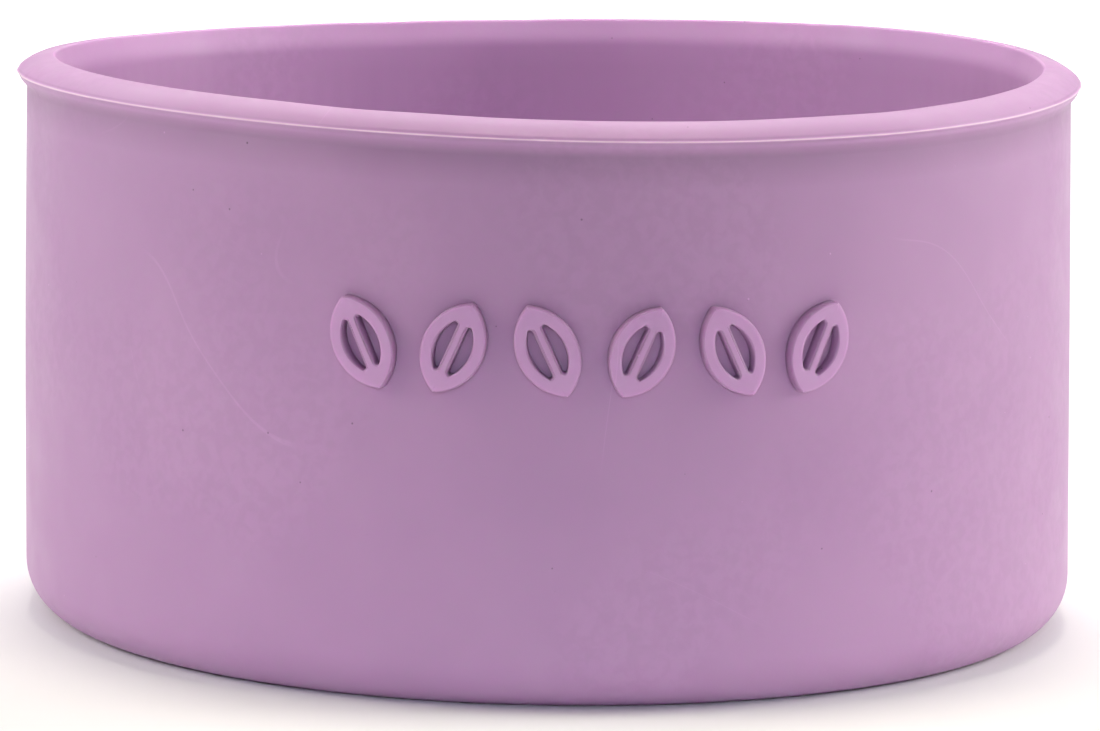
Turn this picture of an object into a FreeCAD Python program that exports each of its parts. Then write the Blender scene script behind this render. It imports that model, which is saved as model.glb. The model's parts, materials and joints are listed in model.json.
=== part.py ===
"""Silicone cup: a straight-walled, flat-floored cup of soft silicone, with a beaded mouth, a rounded base edge and
a row of raised leaves on its front.

The real cup is one moulding. Its zones are modelled as separate solids that meet face to face, so that each can be
named, changed or left out: floor, base edge, side wall, rim bead and six leaves.

Frame: millimetres, +Z up. The origin is the centre of the flat base, on the surface that the cup stands on, and
the leaves are centred on the -Y side, which is the front.
"""

import FreeCAD, Part
import math
import os

import Sketcher

PARTS_FOLDER = "parts"
SHEET = "dims"
LEAF_COUNT = 6

# Driving dimensions: alias, value in millimetres (degrees where the note says so), note.
DIMENSIONS = [
    ("bore_dia", 74.2, "inside diameter of the straight bore"),
    ("wall_low", 3.1, "wall thickness where it leaves the base edge"),
    ("wall_high", 2.7, "wall thickness under the rim bead"),
    ("cup_height", 42.5, "base to crest of the rim"),
    ("floor_thick", 3.0, "thickness of the flat floor"),
    ("base_round", 4.0, "outside radius between base and wall"),
    ("inner_round", 2.0, "inside radius between floor and wall"),
    ("seam_gap", 1.0, "from the end of a round to the seam with the next zone"),
    ("rim_depth", 2.9, "height of the rim bead, crest to foot"),
    ("bead_proud", 0.7, "how far the bead stands out of the wall at its parting line"),
    ("parting_drop", 1.15, "crest down to the parting line"),
    ("lead_in_depth", 2.0, "crest down to the foot of the flared mouth"),
    ("lead_in_width", 0.4, "how far the mouth flares out of the bore"),
    ("crest_round", 0.4, "radius of the rim's inner edge"),
    ("shoulder_round", 0.55, "radius of the bead's shoulder, above its parting line"),
    ("leaf_high", 7.0, "length of a leaf, tip to tip"),
    ("leaf_wide", 4.4, "width of a leaf"),
    ("leaf_stroke", 0.9, "width of a leaf's raised outline"),
    ("leaf_rib", 0.7, "width of a leaf's middle rib"),
    ("leaf_relief", 0.9, "how far a leaf stands out of the wall"),
    ("leaf_pitch", 6.6, "distance from leaf to leaf round the wall"),
    ("leaf_level", 26.3, "height of the leaves' middle above the base"),
    ("leaf_lean", 24.0, "lean of each leaf from upright, in degrees, left and right in turn"),
]

# Sizes worked out from the driving dimensions, as expressions that the sketches and solids share.
BORE_R = "dims.bore_dia / 2"
LOW_R = "(dims.bore_dia / 2 + dims.wall_low)"
HIGH_R = "(dims.bore_dia / 2 + dims.wall_high)"
RIM_FOOT_Z = "(dims.cup_height - dims.rim_depth)"
ROUND_TOP_Z = "(dims.floor_thick + dims.inner_round)"
SEAM_Z = f"(max({ROUND_TOP_Z}; dims.base_round) + dims.seam_gap)"
WALL_SPAN = f"({RIM_FOOT_Z} - dims.base_round)"
SEAM_R = f"({LOW_R} - (dims.wall_low - dims.wall_high) * ({SEAM_Z} - dims.base_round) / {WALL_SPAN})"
ROUND_IN_R = "(dims.bore_dia / 2 - dims.inner_round)"
ROUND_OUT_R = f"({LOW_R} - dims.base_round)"
FLOOR_R = f"(min({ROUND_IN_R}; {ROUND_OUT_R}) - dims.seam_gap)"
MOUTH_R = "(dims.bore_dia / 2 + dims.lead_in_width)"
BEAD_R = "(dims.bore_dia / 2 + dims.wall_high + dims.bead_proud)"


def make_sheet(doc):
    """Spreadsheet of the driving dimensions: name, value and note, one row each."""
    sheet = doc.addObject("Spreadsheet::Sheet", SHEET)
    for row, (alias, value, note) in enumerate(DIMENSIONS, start=1):
        sheet.set(f"A{row}", alias)
        sheet.set(f"B{row}", str(value))
        sheet.set(f"C{row}", note)
        sheet.setAlias(f"B{row}", alias)
    doc.recompute()
    return sheet


def value_of(sheet, expression):
    """Number that an expression on the sheet's cells gives now."""
    return float(sheet.evalExpression(expression))


def origin_plane(body, role):
    """One of a body's own origin planes, by its role, such as XZ_Plane."""
    return next(f for f in body.Origin.OriginFeatures if f.Role == role)


def new_sketch(body, name, role):
    """Empty sketch on one of the body's origin planes."""
    sketch = body.newObject("Sketcher::SketchObject", name)
    sketch.AttachmentSupport = (origin_plane(body, role), [""])
    sketch.MapMode = "FlatFace"
    return sketch


def drive(sketch, constraint, label, expression):
    """Add a named constraint and bind its value to an expression."""
    index = sketch.addConstraint(constraint)
    sketch.renameConstraint(index, label)
    sketch.setExpression(f"Constraints.{label}", expression)


def arc_between(start, end, radius, turn):
    """Arc from start to end. turn is +1 where it runs anticlockwise and -1 where it runs clockwise.

    Returns the arc, and which of its two ends is the start, because a sketch arc always runs anticlockwise.
    """
    chord = end - start
    rise = math.sqrt(max(radius**2 - (chord.Length / 2) ** 2, 0.0))
    left = FreeCAD.Vector(-chord.y, chord.x, 0).normalize()
    centre = (start + end) * 0.5 + left * (rise * turn)
    first, last = (start, end) if turn > 0 else (end, start)
    angles = [math.atan2(p.y - centre.y, p.x - centre.x) for p in (first, last)]
    circle = Part.Circle(centre, FreeCAD.Vector(0, 0, 1), radius)
    return Part.ArcOfCircle(circle, angles[0], angles[1]), 1 if turn > 0 else 2


def closed_outline(sketch, sheet, tag, corners):
    """Closed outline through corners, driven by the sheet.

    A corner is (x expression, y expression, None) where a straight edge leaves it, or
    (x expression, y expression, (radius expression, turn)) where an arc leaves it.
    """
    places = [FreeCAD.Vector(value_of(sheet, x), value_of(sheet, y), 0) for x, y, _ in corners]
    edges = []
    for k, (x, y, arc) in enumerate(corners):
        start, end = places[k], places[(k + 1) % len(corners)]
        if arc is None:
            edges.append((sketch.addGeometry(Part.LineSegment(start, end), False), 1))
        else:
            shape, first = arc_between(start, end, value_of(sheet, arc[0]), arc[1])
            edges.append((sketch.addGeometry(shape, False), first))
    for k, (edge, first) in enumerate(edges):
        following, following_first = edges[(k + 1) % len(edges)]
        sketch.addConstraint(Sketcher.Constraint("Coincident", edge, 3 - first, following, following_first))
    for k, (x, y, arc) in enumerate(corners):
        edge, first = edges[k]
        across = Sketcher.Constraint("DistanceX", -1, 1, edge, first, places[k].x)
        drive(sketch, across, f"{tag}_x{k}", x)
        up = Sketcher.Constraint("DistanceY", -1, 1, edge, first, places[k].y)
        drive(sketch, up, f"{tag}_y{k}", y)
        if arc is not None:
            bend = Sketcher.Constraint("Radius", edge, value_of(sheet, arc[0]))
            drive(sketch, bend, f"{tag}_r{k}", arc[0])


def ring_body(doc, sheet, label, corners):
    """Body turned a full circle round Z from an outline in the XZ plane."""
    body = doc.addObject("PartDesign::Body", label)
    body.Label = label
    sketch = new_sketch(body, f"{label}_outline", "XZ_Plane")
    closed_outline(sketch, sheet, "edge", corners)
    turned = body.newObject("PartDesign::Revolution", f"{label}_turned")
    turned.Profile = sketch
    turned.ReferenceAxis = (sketch, ["V_Axis"])
    turned.Angle = 360
    sketch.Visibility = False
    body.Placement = FreeCAD.Placement()
    return body


def make_floor(doc):
    """Flat disc inside the base edge, one face on the ground and one in the cup."""
    body = doc.addObject("PartDesign::Body", "floor")
    body.Label = "floor"
    sketch = new_sketch(body, "floor_outline", "XY_Plane")
    circle = sketch.addGeometry(Part.Circle(FreeCAD.Vector(), FreeCAD.Vector(0, 0, 1), 1.0), False)
    sketch.addConstraint(Sketcher.Constraint("Coincident", circle, 3, -1, 1))
    drive(sketch, Sketcher.Constraint("Radius", circle, 1.0), "floor_r", FLOOR_R)
    disc = body.newObject("PartDesign::Pad", "floor_disc")
    disc.Profile = sketch
    disc.setExpression("Length", "dims.floor_thick")
    body.Placement = FreeCAD.Placement()
    return body


def make_base_edge(doc, sheet):
    """Rounded corner ring between the floor and the side wall."""
    return ring_body(doc, sheet, "base_edge", [
        (FLOOR_R, "0", None),
        (ROUND_OUT_R, "0", ("dims.base_round", 1)),
        (LOW_R, "dims.base_round", None),
        (SEAM_R, SEAM_Z, None),
        (BORE_R, SEAM_Z, None),
        (BORE_R, ROUND_TOP_Z, ("dims.inner_round", -1)),
        (ROUND_IN_R, "dims.floor_thick", None),
        (FLOOR_R, "dims.floor_thick", None),
    ])


def make_side_wall(doc, sheet):
    """Tube with a straight bore, whose outside leans in a little towards the rim."""
    return ring_body(doc, sheet, "side_wall", [
        (BORE_R, SEAM_Z, None),
        (SEAM_R, SEAM_Z, None),
        (HIGH_R, RIM_FOOT_Z, None),
        (BORE_R, RIM_FOOT_Z, None),
    ])


def make_rim_bead(doc, sheet):
    """Bead round the mouth: a flared inner edge, a crown that rolls over a shoulder, and a foot that curves in twice.

    The shoulder and the foot both stand upright where they meet, at the parting line. Each pair of arcs is tangent
    where it joins, so every radius and joint follows from the bead's own depth and width.
    """
    crown_r = f"({MOUTH_R} + dims.crest_round)"
    span = f"({BEAD_R} - {crown_r})"
    drop = "dims.parting_drop"
    shoulder = "dims.shoulder_round"
    crown = f"(({span}^2 + {drop}^2 - 2 * {span} * {shoulder}) / (2 * ({drop} - {shoulder})))"
    between = f"({crown} - {shoulder})"
    join_r = f"{crown_r} + {crown} * ({span} - {shoulder}) / {between}"
    join_z = f"dims.cup_height - {crown} + {crown} * ({crown} - {drop}) / {between}"
    foot = f"(dims.rim_depth - {drop})"
    foot_bend = f"(dims.bead_proud^2 + {foot}^2) / (4 * dims.bead_proud)"
    return ring_body(doc, sheet, "rim_bead", [
        (BORE_R, RIM_FOOT_Z, None),
        (HIGH_R, RIM_FOOT_Z, (foot_bend, -1)),
        (f"{HIGH_R} + dims.bead_proud / 2", f"{RIM_FOOT_Z} + {foot} / 2", (foot_bend, 1)),
        (BEAD_R, f"dims.cup_height - {drop}", (shoulder, 1)),
        (join_r, join_z, (crown, 1)),
        (crown_r, "dims.cup_height", ("dims.crest_round", 1)),
        (MOUTH_R, "dims.cup_height - dims.crest_round", None),
        (BORE_R, "dims.cup_height - dims.lead_in_depth", None),
    ])


def leaf_outlines(sheet, sketch):
    """Pointed oval of two arcs, with a pointed opening on each side of its middle rib."""
    bend = "((dims.leaf_high^2 + dims.leaf_wide^2) / (4 * dims.leaf_wide))"
    inner_bend = f"({bend} - dims.leaf_stroke)"
    arc_centre = f"({bend} - dims.leaf_wide / 2)"
    half_open = f"sqrt({inner_bend}^2 - ({arc_centre} + dims.leaf_rib / 2)^2)"
    closed_outline(sketch, sheet, "leaf", [
        ("0", "-dims.leaf_high / 2", (bend, 1)),
        ("0", "dims.leaf_high / 2", (bend, 1)),
    ])
    closed_outline(sketch, sheet, "right", [
        ("dims.leaf_rib / 2", f"-{half_open}", (inner_bend, 1)),
        ("dims.leaf_rib / 2", half_open, None),
    ])
    closed_outline(sketch, sheet, "left", [
        ("-dims.leaf_rib / 2", half_open, (inner_bend, 1)),
        ("-dims.leaf_rib / 2", f"-{half_open}", None),
    ])


def make_relief_band(doc):
    """Thin shell that hugs the outside of the wall, as thick as the leaves' relief."""
    cones = []
    for name, extra in (("relief_outside", " + dims.leaf_relief"), ("relief_inside", "")):
        cone = doc.addObject("Part::Cone", name)
        cone.setExpression("Radius1", LOW_R + extra)
        cone.setExpression("Radius2", HIGH_R + extra)
        cone.setExpression("Height", WALL_SPAN)
        cone.setExpression("Placement.Base.z", "dims.base_round")
        cones.append(cone)
    band = doc.addObject("Part::Cut", "relief_band")
    band.Base, band.Tool = cones
    return band


def make_leaf(doc, sheet, band, number):
    """One raised leaf: its outline padded out through the wall, and trimmed to the relief band.

    The leaves are spaced evenly round the front, and lean left and right in turn.
    """
    label = f"mark_leaf_{number}"
    body = doc.addObject("PartDesign::Body", f"{label}_blank")
    sketch = new_sketch(body, f"{label}_outline", "XZ_Plane")
    leaf_outlines(sheet, sketch)
    blank = body.newObject("PartDesign::Pad", f"{label}_pad")
    blank.Profile = sketch
    blank.setExpression("Length", f"{LOW_R} + 2 * dims.leaf_relief")
    steps = number - (LEAF_COUNT + 1) / 2
    lean = -1 if number % 2 else 1
    body.setExpression("Placement.Base.z", "dims.leaf_level")
    body.setExpression("Placement.Rotation.Yaw", f"{steps} * dims.leaf_pitch / {LOW_R} * 180 / pi")
    body.setExpression("Placement.Rotation.Pitch", f"{lean} * dims.leaf_lean")
    leaf = doc.addObject("Part::Common", label)
    leaf.Label = label
    leaf.Base = body
    leaf.Tool = band
    return leaf


def check(doc, sub_parts):
    """Stop if any object failed to build, or a sub-part isn't one valid solid."""
    for thing in doc.Objects:
        if "Invalid" in thing.State or "Error" in thing.State:
            raise RuntimeError(f"{thing.Label} failed to build: {thing.State}")
    for part in sub_parts:
        shape = part.Shape
        if shape.isNull() or not shape.isValid() or len(shape.Solids) != 1:
            raise RuntimeError(f"{part.Label} is not one valid solid")


def export(sub_parts):
    """Write each sub-part to its own STEP file, and print its size."""
    os.makedirs(PARTS_FOLDER, exist_ok=True)
    for part in sub_parts:
        part.Shape.exportStep(os.path.join(PARTS_FOLDER, f"{part.Label}.step"))
        box = part.Shape.BoundBox
        print(f"{part.Label}: {box.XLength:.2f} x {box.YLength:.2f} x {box.ZLength:.2f} mm, {part.Shape.Volume:.1f} mm3")


def main():
    doc = FreeCAD.newDocument("silicone_cup")
    sheet = make_sheet(doc)
    sub_parts = [
        make_floor(doc),
        make_base_edge(doc, sheet),
        make_side_wall(doc, sheet),
        make_rim_bead(doc, sheet),
    ]
    band = make_relief_band(doc)
    sub_parts += [make_leaf(doc, sheet, band, number) for number in range(1, LEAF_COUNT + 1)]
    doc.recompute()
    check(doc, sub_parts)
    export(sub_parts)


main()
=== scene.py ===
import json
import math

import bpy
import numpy as np
from mathutils import Matrix, Vector


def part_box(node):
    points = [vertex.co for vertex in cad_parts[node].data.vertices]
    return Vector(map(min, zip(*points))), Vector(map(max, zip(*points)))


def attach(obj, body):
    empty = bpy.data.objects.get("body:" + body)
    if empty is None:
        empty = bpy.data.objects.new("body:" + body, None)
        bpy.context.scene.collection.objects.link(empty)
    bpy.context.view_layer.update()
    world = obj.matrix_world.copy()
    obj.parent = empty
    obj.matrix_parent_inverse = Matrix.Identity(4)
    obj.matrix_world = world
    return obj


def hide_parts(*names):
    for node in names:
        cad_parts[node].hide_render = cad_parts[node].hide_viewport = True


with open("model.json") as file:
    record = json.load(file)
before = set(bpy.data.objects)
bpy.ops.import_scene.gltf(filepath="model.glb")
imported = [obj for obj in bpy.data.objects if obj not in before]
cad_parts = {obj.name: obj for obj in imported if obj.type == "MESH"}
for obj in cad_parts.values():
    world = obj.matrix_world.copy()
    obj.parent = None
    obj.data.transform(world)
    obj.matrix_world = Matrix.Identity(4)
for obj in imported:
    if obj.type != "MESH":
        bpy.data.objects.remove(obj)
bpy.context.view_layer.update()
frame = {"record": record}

MM = 0.001

# Sizes of the cup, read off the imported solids, in millimetres.
FLOOR_HIGH = np.array(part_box("floor")[1]) / MM
EDGE_HIGH = np.array(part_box("base_edge")[1]) / MM
BEAD_LOW, BEAD_HIGH = (np.array(p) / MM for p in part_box("rim_bead"))
SOCKET = next(m for m in frame["record"]["mounts"] if m["name"] == "bottle_socket")

BORE_R = SOCKET["dims"]["r_mm"]
LOW_R = EDGE_HIGH[0]
BEAD_R = BEAD_HIGH[0]
RIM_Z = BEAD_HIGH[2]
FOOT_Z = BEAD_LOW[2]
FLOOR_Z = FLOOR_HIGH[2]

# Sizes of the section's rounds and steps, in millimetres, and the flare's lean in degrees.
BEAD_PROUD, PARTING_DROP = 0.65, 1.15
HIGH_R = BEAD_R - BEAD_PROUD
PARTING_Z = RIM_Z - PARTING_DROP
UNDERCUT = 1.45
BASE_ROUND, INNER_ROUND = 4.0, 2.0
SHOULDER_ROUND = 0.32
CREST_R, CREST_ROUND = BORE_R + 0.8, 0.25
FLARE_LEAN, FLARE_BLEND = 20.0, 3.0
FLAT_LOW, FLAT_HIGH = 0.22, 0.06

ROUND_STEPS = 600
VIEW_TURN = math.radians(-4.7)

# How far the soft rim stands out of true, in millimetres, and the angles at which it does so most.
RIM_TILT, TILT_AT = 0.24, math.radians(10)
RIM_SADDLE, SADDLE_AT = 0.49, math.radians(25)
RIM_OVAL, OVAL_AT = 0.17, math.radians(128)
RIM_SHIFT = -0.6

# The lip of flash on the parting line: half width, place below the line, mean height, unevenness and nubs.
LIP_WIDTH, LIP_DROP, LIP_HIGH, LIP_ROUGH, LIP_LEAST, NUB_HIGH = 0.075, 0.05, 0.085, 0.03, 0.03, 0.12

# How far the bead, crest and wall wander and how deep the bore's fine lines are, in millimetres.
BEAD_WANDER, CREST_WANDER, WALL_WANDER = 0.022, 0.015, 0.05
FLUTES, FLUTE_DEEP = 136, 0.014
FLUTED_MOST_AT = math.radians(60)

# Painted light and shade: how much lighter, or darker where below zero, the flash, the step under it, the
# crease and the mouth are painted. The flash, the step and the mouth carry painted highlights, the crease
# painted shade.
LIP_HIGHLIGHT, STEP_HIGHLIGHT, CREASE_SHADE, MOUTH_HIGHLIGHT = 0.6, 0.1, -0.19, 0.15


def arc(centre, radius, start, end, steps):
    """Points (r, z) of an arc: centre plus radius times (cos, sin) of an angle running from start to end."""
    a = np.radians(np.linspace(start, end, steps))
    return np.stack([centre[0] + radius * np.cos(a), centre[1] + radius * np.sin(a)], 1)


def line(start, end, steps):
    """Points (r, z) evenly along a straight run, the ends included."""
    t = np.linspace(0, 1, steps)[:, None]
    return np.array(start) * (1 - t) + np.array(end) * t


def wander(theta, waves, seed):
    """Smooth closed unevenness round the cup: a sum of cosines of whole-number waves with falling weights.

    Each wave n has weight 1/sqrt(n) and its own phase, and the sum is scaled to a spread of about one.
    """
    n = np.asarray(waves, float)[:, None]
    phase = np.random.default_rng(seed).uniform(0, 2 * np.pi, n.shape)
    weight = 1 / np.sqrt(n)
    total = (weight * np.cos(n * theta[None, :] + phase)).sum(0)
    return total / np.sqrt(0.5 * (weight**2).sum())


def cup_profile():
    """Section of the cup in (r, z), from the middle of the underside, up and over the rim, down to the floor.

    The crown is an arc from the inner crest down to a tight shoulder at the parting line. Under the
    line the bead turns in and then out again to the wall, as two equal arcs. The mouth is a small
    round, a straight flare and a long blend into the bore. Returns the points and the name of each
    point's zone.
    """
    span = BEAD_R - CREST_R
    drop = PARTING_DROP
    crown = (span**2 + drop**2 - 2 * span * SHOULDER_ROUND) / (2 * (drop - SHOULDER_ROUND))
    turn = math.degrees(math.atan2(crown - drop, span - SHOULDER_ROUND))
    bend = (BEAD_PROUD**2 + UNDERCUT**2) / (4 * BEAD_PROUD)
    sweep = math.degrees(math.asin(UNDERCUT / 2 / bend))
    foot_z = PARTING_Z - UNDERCUT
    lean = math.radians(FLARE_LEAN)
    flare_r = CREST_R - CREST_ROUND * math.cos(lean)
    flare_z = RIM_Z - CREST_ROUND * (1 - math.sin(lean))
    blend_r = BORE_R + FLARE_BLEND * (1 - math.cos(lean))
    blend_z = flare_z - (flare_r - blend_r) / math.tan(lean)
    bore_z = blend_z - FLARE_BLEND * math.sin(lean)
    runs = [
        ("under", line((0.0, 0.0), (LOW_R - BASE_ROUND, 0.0), 9)),
        ("under", arc((LOW_R - BASE_ROUND, BASE_ROUND), BASE_ROUND, -90, 0, 17)[1:]),
        ("wall", line((LOW_R, BASE_ROUND), (HIGH_R, foot_z), 18)[1:]),
        ("bead", arc((HIGH_R + bend, foot_z), bend, 180, 180 - sweep, 9)[1:]),
        ("bead", arc((BEAD_R - bend, PARTING_Z), bend, -sweep, -12, 7)[1:]),
        ("bead", line((BEAD_R, PARTING_Z - FLAT_LOW), (BEAD_R, PARTING_Z + FLAT_HIGH), 9)),
        ("bead", arc((BEAD_R - SHOULDER_ROUND, PARTING_Z), SHOULDER_ROUND, 14, turn, 6)),
        ("bead", arc((CREST_R, RIM_Z - crown), crown, turn, 90, 13)[1:]),
        ("mouth", arc((CREST_R, RIM_Z - CREST_ROUND), CREST_ROUND, 90, 180 - FLARE_LEAN, 6)[1:]),
        ("mouth", line((flare_r, flare_z), (blend_r, blend_z), 5)[1:]),
        ("mouth", arc((BORE_R + FLARE_BLEND, bore_z), FLARE_BLEND, 180 - FLARE_LEAN, 180, 7)[1:]),
        ("bore", line((BORE_R, bore_z), (BORE_R, FLOOR_Z + INNER_ROUND), 22)[1:]),
        ("inside", arc((BORE_R - INNER_ROUND, FLOOR_Z + INNER_ROUND), INNER_ROUND, 0, -90, 9)[1:]),
        ("inside", line((BORE_R - INNER_ROUND, FLOOR_Z), (0.0, FLOOR_Z), 9)[1:]),
    ]
    points = np.concatenate([p for _, p in runs])
    zone = np.concatenate([[name] * len(p) for name, p in runs])
    return points, zone


def revolve(name, radius, height, theta, sideways):
    """Closed mesh of a section carried round Z.

    radius and height are arrays of rings by steps. The first and last rings lie on the axis, and each
    becomes a single point. Point (i, j) is (radius cos theta, radius sin theta, height), moved sideways
    along the right.
    """
    rings, steps = radius.shape
    x = radius * np.cos(theta) + sideways * math.cos(VIEW_TURN)
    y = radius * np.sin(theta) + sideways * math.sin(VIEW_TURN)
    body = np.stack([x, y, height], 2)[1:-1].reshape(-1, 3)
    ends = np.array([[0, 0, height[0].mean()], [0, 0, height[-1].mean()]])
    verts = np.concatenate([body, ends]) * MM
    i, j = np.meshgrid(np.arange(rings - 3), np.arange(steps), indexing="ij")
    k = (j + 1) % steps
    ring, above = i * steps, (i + 1) * steps
    quads = np.stack([ring + j, ring + k, above + k, above + j], 2).reshape(-1, 4)
    first, last = len(body), len(body) + 1
    j = np.arange(steps)
    k = (j + 1) % steps
    low = np.stack([np.full(steps, first), k, j], 1)
    top = (rings - 3) * steps
    high = np.stack([np.full(steps, last), top + j, top + k], 1)
    mesh = bpy.data.meshes.new(name)
    mesh.from_pydata(verts.tolist(), [], quads.tolist() + low.tolist() + high.tolist())
    mesh.update()
    mesh.shade_smooth()
    obj = bpy.data.objects.new(name, mesh)
    bpy.context.scene.collection.objects.link(obj)
    return obj


def settle(theta, height):
    """How far a soft cup stands out of true: (outward, upward, sideways) in millimetres.

    The rim tilts once round, rises and dips twice round, is slightly oval and leans sideways. Each is a
    cosine of the angle from where it is greatest, and grows evenly from nothing at the base to full
    size at the rim.
    """
    seen = theta - VIEW_TURN
    up = height / RIM_Z
    outward = up * RIM_OVAL * np.cos(2 * (seen - OVAL_AT))
    tilt = RIM_TILT * np.cos(seen - TILT_AT)
    upward = up * (tilt + RIM_SADDLE * np.cos(2 * (seen - SADDLE_AT)))
    return outward, upward, RIM_SHIFT * up


def bell(x, middle, width):
    """Smooth bump of height one: exp of minus the square of the distance from the middle in widths."""
    return np.exp(-(((x - middle) / width) ** 2))


def set_painted_light(obj, painted_light):
    """Per-point painted light and shade on the silicone, one being plain, kept as a float attribute for the
    material.
    """
    obj.data.attributes.new("painted_light", "FLOAT", "POINT").data.foreach_set("value", painted_light.astype(np.float32))


def cup_shell():
    """The whole moulding but its leaves, as one closed surface of revolution with a real cup's unevenness.

    The parting line carries a thin lip of flash of uneven width, with small nubs. The bore has fine
    upright lines, a cosine of the angle, deepest on one side. The wall, bead and mouth wander by a few
    hundredths of a millimetre. Painted highlights make the flash, the step under it and the flared mouth
    paler, and painted shade makes the hollow under the bead a little darker.
    """
    theta = np.linspace(0, 2 * np.pi, ROUND_STEPS, endpoint=False)
    points, zone = cup_profile()
    below = PARTING_Z - points[:, 1:]
    radius = np.repeat(points[:, :1], ROUND_STEPS, 1)
    height = np.repeat(points[:, 1:], ROUND_STEPS, 1)
    outward, upward, sideways = settle(theta[None, :], height)
    zones = ("bead", "mouth", "bore", "wall")
    on_bead, on_mouth, on_bore, on_wall = ((zone == name)[:, None] for name in zones)
    outside = on_bead & (points[:, :1] > BEAD_R - 0.5)
    lip = outside * bell(below, LIP_DROP, LIP_WIDTH)
    nubs = np.clip(wander(theta, range(60, 240, 3), 5) - 1.5, 0, 1)
    flash = np.clip(LIP_HIGH + LIP_ROUGH * wander(theta, range(3, 90), 1), LIP_LEAST, None) + NUB_HIGH * nubs
    radius += lip * flash
    radius += (on_bead | on_mouth) * BEAD_WANDER * wander(theta, range(2, 24), 2)
    height += (on_mouth | (on_bead & (below < 0))) * CREST_WANDER * wander(theta, range(2, 30), 3)
    fluted = 0.55 + 0.45 * np.cos(theta - VIEW_TURN - FLUTED_MOST_AT)
    radius += on_bore * fluted * FLUTE_DEEP * np.cos(FLUTES * theta)
    middle = np.sin(np.pi * np.clip((height - BASE_ROUND) / (FOOT_Z - BASE_ROUND), 0, 1))
    radius += on_wall * middle * WALL_WANDER * wander(theta, range(2, 9), 4)
    under = on_bead | on_wall
    # Painted highlight on the step just under the flash, brightest 0.4 mm below the parting line.
    step = STEP_HIGHLIGHT * under * bell(below, 0.4, 0.25)
    # Painted shade in the crease under the bead, deepest 1.3 mm below the parting line.
    crease_shade = CREASE_SHADE * under * bell(below, 1.3, 0.5)
    # Painted highlight on the flared mouth, full near the rim top and fading out about three millimetres
    # down.
    mouth = MOUTH_HIGHLIGHT * on_mouth * np.clip(1.4 - (below + PARTING_DROP) / 2.2, 0, 1)
    # Painted light and shade per point: one, plus painted highlights on the flash, the step and the mouth,
    # plus the painted shade of the crease, which is below zero.
    painted_light = np.broadcast_to(1 + LIP_HIGHLIGHT * lip + step + crease_shade + mouth, radius.shape)
    shell = revolve("cup_shell", radius + outward, height + upward, theta, sideways)
    set_painted_light(shell, np.concatenate([painted_light[1:-1].ravel(), [1, 1]]))
    return shell


shell = cup_shell()
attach(shell, "root")
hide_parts("floor", "base_edge", "side_wall", "rim_bead")


# The leaves, as in the CAD: height, width, band, rib, relief, pitch and level in millimetres, and
# lean in degrees. Then their small rounds, how far they sink into the wall, and their painted light:
# painted shade over the whole leaf and a painted highlight on its flat top.
LEAF_HIGH, LEAF_WIDE, LEAF_STROKE, LEAF_RIB = 7.0, 4.4, 0.9, 0.7
LEAF_RELIEF, LEAF_PITCH, LEAF_LEVEL, LEAF_LEAN = 0.9, 6.6, 26.3, 24.0
TIP_ROUND, HOLE_ROUND, EDGE_ROUND, SUNK = 0.35, 0.2, 0.16, 0.12
LEAF_SIDE_SHADE, LEAF_TOP_HIGHLIGHT = 0.96, 0.24


def bow(centre, radius, start, end, steps):
    """Points (x, y) of an arc from angle start to end, in radians, without the last one."""
    a = np.linspace(start, end, steps, endpoint=False)
    return np.stack([centre[0] + radius * np.cos(a), centre[1] + radius * np.sin(a)], 1)


def reach(start, end, steps):
    """Points (x, y) along a straight run, without the last one."""
    t = np.linspace(0, 1, steps, endpoint=False)[:, None]
    return np.array(start) * (1 - t) + np.array(end) * t


def half_leaf_loops():
    """Matching outer and inner closed loops of a leaf's right half, and which outer points lie on its rib.

    The outer loop is the leaf's right edge, an arc with rounded tips, closed by the leaf's middle line.
    The inner loop is the opening: a shorter arc inside the edge, closed by the rib's side, with rounded
    corners.
    """
    big = (LEAF_HIGH**2 + LEAF_WIDE**2) / (4 * LEAF_WIDE)
    off = big - LEAF_WIDE / 2
    tip = math.sqrt((big - TIP_ROUND) ** 2 - off**2)
    lean = math.atan2(tip, off)
    small = big - LEAF_STROKE
    corner_x = LEAF_RIB / 2 + HOLE_ROUND
    corner_y = math.sqrt((small - HOLE_ROUND) ** 2 - (off + corner_x) ** 2)
    bend = math.atan2(corner_y, off + corner_x)
    top = tip + TIP_ROUND
    quarter = math.pi / 2
    outer = [
        bow((-off, 0), big, -lean, lean, 30),
        bow((0, tip), TIP_ROUND, lean, quarter, 7),
        reach((0, top), (0, corner_y), 7),
        reach((0, corner_y), (0, -corner_y), 20),
        reach((0, -corner_y), (0, -top), 7),
        bow((0, -tip), TIP_ROUND, -quarter, -lean, 7),
    ]
    inner = [
        bow((-off, 0), small, -bend, bend, 30),
        bow((corner_x, corner_y), HOLE_ROUND, bend, quarter, 7),
        bow((corner_x, corner_y), HOLE_ROUND, quarter, math.pi, 7),
        reach((corner_x - HOLE_ROUND, corner_y), (corner_x - HOLE_ROUND, -corner_y), 20),
        bow((corner_x, -corner_y), HOLE_ROUND, math.pi, 3 * quarter, 7),
        bow((corner_x, -corner_y), HOLE_ROUND, -quarter, -bend, 7),
    ]
    rib = np.repeat([False, False, True, True, True, False], [30, 7, 7, 20, 7, 7])
    rib[30 + 7 + 7 + 20 + 7] = True
    return np.concatenate(outer), np.concatenate(inner), rib


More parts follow.
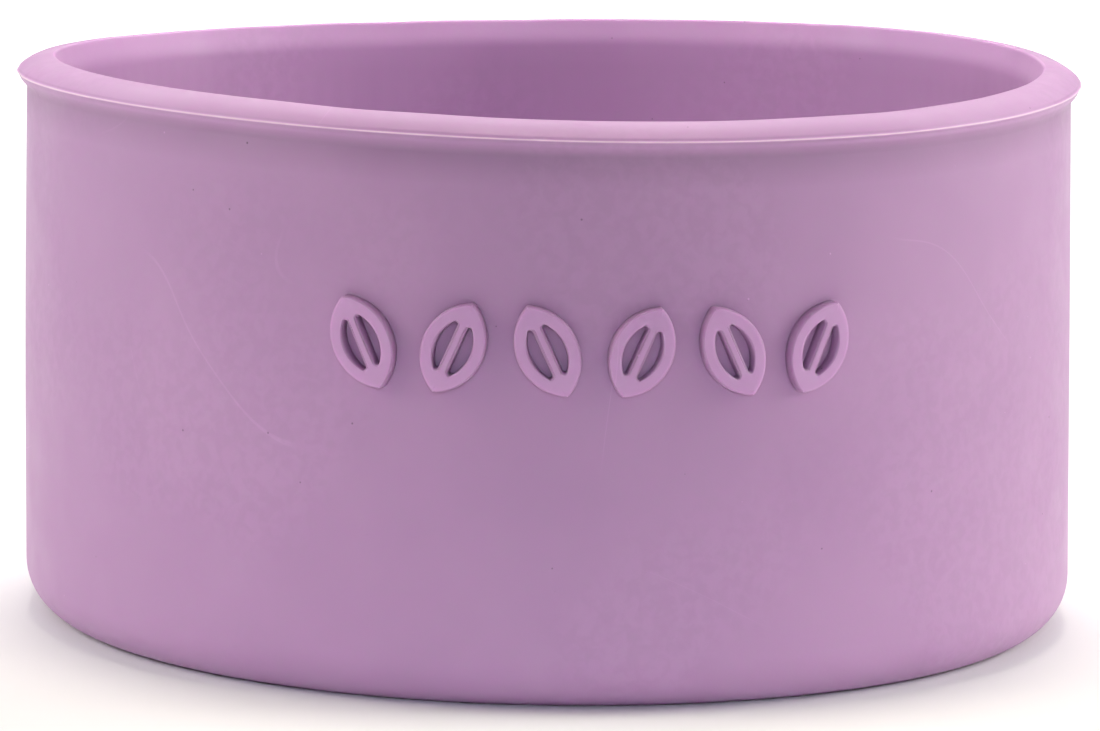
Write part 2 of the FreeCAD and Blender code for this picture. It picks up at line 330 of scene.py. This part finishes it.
def raised_leaf(number):
    """One raised leaf, closed all round: its two halves are strips from the outer loop to the inner one.

    Across a strip the height runs up the outer side, over a rounded edge, along the flat top, over the
    inner rounded edge, down the inner side, and back under. Along the middle line the outer side is
    left out, and the two halves share their points. The flat leaf is leaned, then wrapped on the wall:
    across becomes angle, along becomes height.
    """
    outer, inner, rib = half_leaf_loops()
    width = np.linalg.norm(inner - outer, axis=1)[:, None]
    turn = np.linspace(0, np.pi / 2, 5)
    side_in = EDGE_ROUND * (1 - np.cos(turn))
    side_up = LEAF_RELIEF - EDGE_ROUND + EDGE_ROUND * np.sin(turn)
    near = np.concatenate([[-0.05, -0.02], side_in])
    rise = np.concatenate([[-SUNK, LEAF_RELIEF * 0.5], side_up])
    middle = np.array([0.35, 0.5, 0.65])
    count = len(outer)
    ahead = np.concatenate([np.repeat(near[None, :], count, 0), middle * width, width - near[::-1]], 1)
    tall = np.concatenate([rise, np.full(3, LEAF_RELIEF), rise[::-1]])
    tall = np.repeat(tall[None, :], count, 0)
    edge = len(near)
    ahead[rib, 1:edge] = 0
    ahead[rib, 0] = 0
    tall[rib, 1:edge] = LEAF_RELIEF
    across = outer[:, None, :] + (inner - outer)[:, None, :] * (ahead / width)[:, :, None]
    right = np.concatenate([across, tall[:, :, None]], 2)
    rows, cols = right.shape[:2]
    i, j = np.meshgrid(np.arange(rows), np.arange(cols), indexing="ij")
    a = i * cols + j
    b = ((i + 1) % rows) * cols + j
    c = ((i + 1) % rows) * cols + (j + 1) % cols
    d = i * cols + (j + 1) % cols
    faces = np.stack([a, b, c, d], 2).reshape(-1, 4)
    flat = right.reshape(-1, 3)
    mirror = flat * [-1, 1, 1]
    verts = np.concatenate([flat, mirror])
    faces = np.concatenate([faces, faces[:, ::-1] + len(flat)])
    key = np.round(verts / 1e-4).astype(np.int64)
    _, first, same = np.unique(key, axis=0, return_index=True, return_inverse=True)
    same = same.ravel()
    faces = same[faces]
    verts = verts[first]
    faces = faces[(np.abs(verts[:, 0]) > 1e-6)[faces].any(1)]
    faces = np.concatenate([faces[:, [0, 1, 2]], faces[:, [0, 2, 3]]])
    pairs = np.roll(faces, 1, axis=1) == faces
    faces = faces[~pairs.any(1)]
    lean = math.radians(LEAF_LEAN) * (-1 if number % 2 else 1)
    x = verts[:, 0] * math.cos(lean) + verts[:, 1] * math.sin(lean)
    y = -verts[:, 0] * math.sin(lean) + verts[:, 1] * math.cos(lean)
    step = number - 3.5
    theta = -np.pi / 2 + (step * LEAF_PITCH + x) / LOW_R
    height = LEAF_LEVEL + y
    up = (height - BASE_ROUND) / (PARTING_Z - UNDERCUT - BASE_ROUND)
    outward, upward, sideways = settle(theta, height)
    radius = LOW_R + (HIGH_R - LOW_R) * up + verts[:, 2] + outward
    place = np.stack([
        radius * np.cos(theta) + sideways * math.cos(VIEW_TURN),
        radius * np.sin(theta) + sideways * math.sin(VIEW_TURN),
        height + upward,
    ], 1) * MM
    name = f"raised_leaf_{number}"
    mesh = bpy.data.meshes.new(name)
    mesh.from_pydata(place.tolist(), [], faces.tolist())
    mesh.update()
    mesh.shade_smooth()
    obj = bpy.data.objects.new(name, mesh)
    bpy.context.scene.collection.objects.link(obj)
    # Painted light on the leaves: painted shade over the whole leaf, and a painted highlight on its flat top.
    set_painted_light(obj, LEAF_SIDE_SHADE + LEAF_TOP_HIGHLIGHT * (verts[:, 2] > LEAF_RELIEF - 0.01))
    return obj


leaves = [raised_leaf(number) for number in range(1, 7)]
for number, leaf in enumerate(leaves, start=1):
    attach(leaf, "root")
    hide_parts(f"mark_leaf_{number}")


class Nodes:
    """Short ways to add and join the nodes of one material."""

    def __init__(self, mat):
        self.tree = mat.node_tree
        self.where = self.tree.nodes.new("ShaderNodeTexCoord").outputs["Object"]

    def put(self, socket, value):
        if isinstance(value, bpy.types.NodeSocket):
            self.tree.links.new(value, socket)
        else:
            socket.default_value = value

    def noise(self, size, detail=2.0, distortion=0.0):
        """Noise whose blots are about size millimetres across."""
        node = self.tree.nodes.new("ShaderNodeTexNoise")
        node.inputs["Scale"].default_value = 1 / (size * MM)
        node.inputs["Detail"].default_value = detail
        node.inputs["Distortion"].default_value = distortion
        self.tree.links.new(self.where, node.inputs["Vector"])
        return node.outputs["Fac"]

    def cells(self, size, shift):
        """Distance to the nearest of points scattered size millimetres apart, and its random colour."""
        move = self.tree.nodes.new("ShaderNodeMapping")
        move.inputs["Location"].default_value = shift
        self.tree.links.new(self.where, move.inputs["Vector"])
        node = self.tree.nodes.new("ShaderNodeTexVoronoi")
        node.inputs["Scale"].default_value = 1 / (size * MM)
        self.tree.links.new(move.outputs["Vector"], node.inputs["Vector"])
        return node.outputs["Distance"], node.outputs["Color"]

    def math(self, kind, a, b=0.0, c=0.0):
        node = self.tree.nodes.new("ShaderNodeMath")
        node.operation = kind
        for socket, value in zip(node.inputs, (a, b, c)):
            self.put(socket, value)
        return node.outputs["Value"]

    def fade(self, value, low, high, to_low=0.0, to_high=1.0):
        """Value carried smoothly from the range low to high onto to_low to to_high, and held beyond it."""
        node = self.tree.nodes.new("ShaderNodeMapRange")
        node.interpolation_type = "SMOOTHSTEP"
        for name, number in zip(("From Min", "From Max", "To Min", "To Max"), (low, high, to_low, to_high)):
            node.inputs[name].default_value = number
        self.tree.links.new(value, node.inputs["Value"])
        return node.outputs["Result"]

    def mix(self, factor, a, b):
        node = self.tree.nodes.new("ShaderNodeMix")
        node.data_type = "RGBA"
        self.put(node.inputs["Factor"], factor)
        self.put(node.inputs["A"], a)
        self.put(node.inputs["B"], b)
        return node.outputs["Result"]

    def length(self, vector):
        node = self.tree.nodes.new("ShaderNodeVectorMath")
        node.operation = "LENGTH"
        self.put(node.inputs["Vector"], vector)
        return node.outputs["Value"]

    def scale(self, colour, factor):
        node = self.tree.nodes.new("ShaderNodeVectorMath")
        node.operation = "SCALE"
        self.put(node.inputs["Vector"], colour)
        self.put(node.inputs["Scale"], factor)
        return node.outputs["Vector"]


def silicone():
    """Satin lilac silicone, lit a little from within.

    The colour drifts in wide clouds and is mottled in patches. It carries sparse dark and pale specks
    of dust and a few hair-thin pale scratches. The surface has a fine matt grain, with soft ripples
    where the mottling is. The per-point attribute of painted light and shade lightens and darkens it,
    and where it is well above one, on the flash, a pale painted highlight is mixed in.
    """
    mat = bpy.data.materials.new("lilac_silicone")
    mat.use_nodes = True
    n = Nodes(mat)
    shader = mat.node_tree.nodes["Principled BSDF"]
    shader.inputs["IOR"].default_value = 1.41
    shader.inputs["Subsurface Weight"].default_value = 0.6
    shader.inputs["Subsurface Radius"].default_value = (1.0, 0.55, 0.9)
    shader.inputs["Subsurface Scale"].default_value = 0.0006

    clouds = n.fade(n.noise(14, 3), 0.35, 0.65)
    colour = n.mix(clouds, (0.474, 0.268, 0.477, 1), (0.498, 0.285, 0.497, 1))
    patches = n.fade(n.noise(22, 1), 0.48, 0.62)
    blots = n.noise(0.9, 3, 0.4)
    strength = n.math("MULTIPLY", patches, 0.05)
    mottle = n.math("MULTIPLY_ADD", n.fade(blots, 0.35, 0.65, -0.5, 0.5), strength, 1.0)

    near, kind = n.cells(2.9, (0, 0, 0))
    speck = n.fade(near, 0.018, 0.036, 1.0, 0.0)
    pale = n.math("GREATER_THAN", kind, 0.55)
    dust = n.math("MULTIPLY", speck, n.math("MULTIPLY_ADD", pale, 0.75, -0.45))

    meander = n.math("ABSOLUTE", n.math("SUBTRACT", n.noise(26, 0, 0.8), 0.5))
    scratched = n.fade(n.noise(17, 0), 0.62, 0.7)
    scratch = n.math("MULTIPLY", n.fade(meander, 0.0008, 0.002, 0.08, 0.0), scratched)

    # The painted light and shade, read from the point attribute, scales the mottled colour, held to at most
    # 1.25.
    painted_light = mat.node_tree.nodes.new("ShaderNodeAttribute")
    painted_light.attribute_name = "painted_light"
    light = n.math("MULTIPLY", mottle, n.math("MINIMUM", painted_light.outputs["Fac"], 1.25))
    light = n.math("ADD", light, n.math("ADD", dust, scratch))
    # Painted highlight on the flash: where the painted light is well above one, the colour is mixed towards a
    # pale lilac.
    flash_highlight = n.fade(painted_light.outputs["Fac"], 1.2, 1.6, 0.0, 0.9)
    n.put(shader.inputs["Base Color"], n.mix(flash_highlight, n.scale(colour, light), (0.82, 0.62, 0.74, 1)))
    n.put(shader.inputs["Roughness"], n.fade(n.noise(5, 3), 0.3, 0.7, 0.46, 0.58))

    grain = n.math("MULTIPLY", n.noise(0.35, 3), 0.25)
    ripple = n.math("MULTIPLY", n.math("MULTIPLY", blots, patches), 0.5)
    bump = mat.node_tree.nodes.new("ShaderNodeBump")
    bump.inputs["Strength"].default_value = 0.6
    bump.inputs["Distance"].default_value = 0.00003
    n.put(bump.inputs["Height"], n.math("ADD", n.math("ADD", grain, ripple), speck))
    n.put(shader.inputs["Normal"], bump.outputs["Normal"])
    return mat


lilac = silicone()
shell.data.materials.append(lilac)
for leaf in leaves:
    leaf.data.materials.append(lilac)


FLOOR_HALF = 6.0

# The floor's glow: the distances in metres from which and to which it grows, and its strength at each.
FLOOR_GLOW = (0.28, 0.7, 0.0, 0.95)


def ground():
    """Wide pale floor, one flat square. It glows away from the cup, as a white sweep lit from beyond does."""
    mesh = bpy.data.meshes.new("ground")
    w = FLOOR_HALF
    mesh.from_pydata([(-w, -w, 0), (w, -w, 0), (w, w, 0), (-w, w, 0)], [], [(0, 1, 2, 3)])
    obj = bpy.data.objects.new("ground", mesh)
    bpy.context.scene.collection.objects.link(obj)
    mat = bpy.data.materials.new("pale_floor")
    mat.use_nodes = True
    n = Nodes(mat)
    shader = mat.node_tree.nodes["Principled BSDF"]
    shader.inputs["Base Color"].default_value = (0.9, 0.9, 0.9, 1)
    shader.inputs["Roughness"].default_value = 0.9
    shader.inputs["Specular IOR Level"].default_value = 0.0
    shader.inputs["Emission Color"].default_value = (1, 1, 1, 1)
    n.put(shader.inputs["Emission Strength"], n.fade(n.length(n.where), *FLOOR_GLOW))
    obj.data.materials.append(mat)


ground()


def softbox(name, place, target, size, power, colour=(1, 1, 1), spread=180):
    """Rectangular soft light at place, in millimetres, aimed at target. A small spread is a gridded one."""
    data = bpy.data.lights.new(name, "AREA")
    data.shape = "RECTANGLE"
    data.size, data.size_y = size[0] * MM, size[1] * MM
    data.energy = power
    data.color = colour
    data.spread = math.radians(spread)
    obj = bpy.data.objects.new(name, data)
    aim = Vector(target) - Vector(place)
    obj.rotation_euler = aim.to_track_quat("-Z", "Y").to_euler()
    obj.location = Vector(place) * MM
    bpy.context.scene.collection.objects.link(obj)


def round_the_cup(azimuth, elevation, distance):
    """Place at an azimuth from the camera's side, positive to the right, and an elevation, in degrees."""
    a, e = math.radians(azimuth), math.radians(elevation)
    return turned(distance * math.sin(a) * math.cos(e), -distance * math.cos(a) * math.cos(e),
                  MIDDLE[2] + distance * math.sin(e))


def turned(x, y, z):
    """Place given as seen by the camera, turned into the cup's frame about Z."""
    c, s = math.cos(VIEW_TURN), math.sin(VIEW_TURN)
    return (x * c - y * s, x * s + y * c, z)


MIDDLE = (0, 0, 22)
INSIDE = (0, 36, 32)

softbox("right_side", round_the_cup(95, 22, 520), MIDDLE, (240, 240), 1.63, (0.97, 1.0, 0.91))
softbox("right_front", round_the_cup(60, 30, 560), MIDDLE, (300, 300), 0.32, (1.0, 0.93, 0.72))
softbox("left_side", round_the_cup(-95, 22, 520), MIDDLE, (240, 240), 0.6, (0.84, 0.95, 1.0))
softbox("left_wide", round_the_cup(-75, 30, 560), MIDDLE, (300, 300), 1.1, (1.0, 0.94, 0.75))
softbox("overhead", turned(0, 10, 260), turned(0, 3, 0), (120, 120), 0.037, (1.0, 0.91, 0.8), 40)
softbox("low_front", turned(0, -480, 160), turned(0, -80, 0), (160, 40), 0.0158, (0.78, 0.87, 1.0), 18)
softbox("high_front", turned(0, -330, 330), turned(*INSIDE), (150, 60), 0.0085, (0.78, 0.9, 1.0), 12)
softbox("backdrop", turned(0, 420, 420), turned(0, 380, 0), (900, 300), 3.1)

ROOM_LIGHT, ROOM_SEEN = 0.1, 0.85


def room():
    """Dim even fill from all round. Seen directly, the room is as pale as the floor."""
    world = bpy.data.worlds.new("room")
    world.use_nodes = True
    nodes, links = world.node_tree.nodes, world.node_tree.links
    seen = nodes.new("ShaderNodeMath")
    seen.operation = "MULTIPLY_ADD"
    seen.inputs[1].default_value = ROOM_SEEN
    seen.inputs[2].default_value = ROOM_LIGHT
    links.new(nodes.new("ShaderNodeLightPath").outputs["Is Camera Ray"], seen.inputs[0])
    nodes["Background"].inputs["Color"].default_value = (1, 1, 1, 1)
    links.new(seen.outputs["Value"], nodes["Background"].inputs["Strength"])
    bpy.context.scene.world = world


room()
bpy.context.scene.view_settings.view_transform = "Standard"


# The camera: lens and sensor in millimetres, its place in millimetres before the turn, angles in radians.
LENS, SENSOR = 190.5, 36
CAMERA_AT = (-1.07, -443.73, 86.37)
PITCH, ROLL, YAW = 0.1508, 0.0177, 0.0022


def camera():
    """Long lens a little above the rim, turned off the middle of the leaves and tipped slightly."""
    data = bpy.data.cameras.new("camera")
    data.sensor_width = SENSOR
    data.lens = LENS
    data.clip_start = 0.01
    obj = bpy.data.objects.new("camera", data)
    flat = math.cos(PITCH)
    ahead = Vector(turned(math.sin(YAW) * flat, math.cos(YAW) * flat, -math.sin(PITCH)))
    right = Vector(turned(math.cos(YAW), -math.sin(YAW), 0))
    up = right.cross(ahead)
    right_rolled = right * math.cos(ROLL) + up * math.sin(ROLL)
    up_rolled = up * math.cos(ROLL) - right * math.sin(ROLL)
    turn = Matrix((right_rolled, up_rolled, -ahead)).transposed()
    obj.matrix_world = Matrix.Translation(Vector(turned(*CAMERA_AT)) * MM) @ turn.to_4x4()
    bpy.context.scene.collection.objects.link(obj)
    bpy.context.scene.camera = obj


camera()
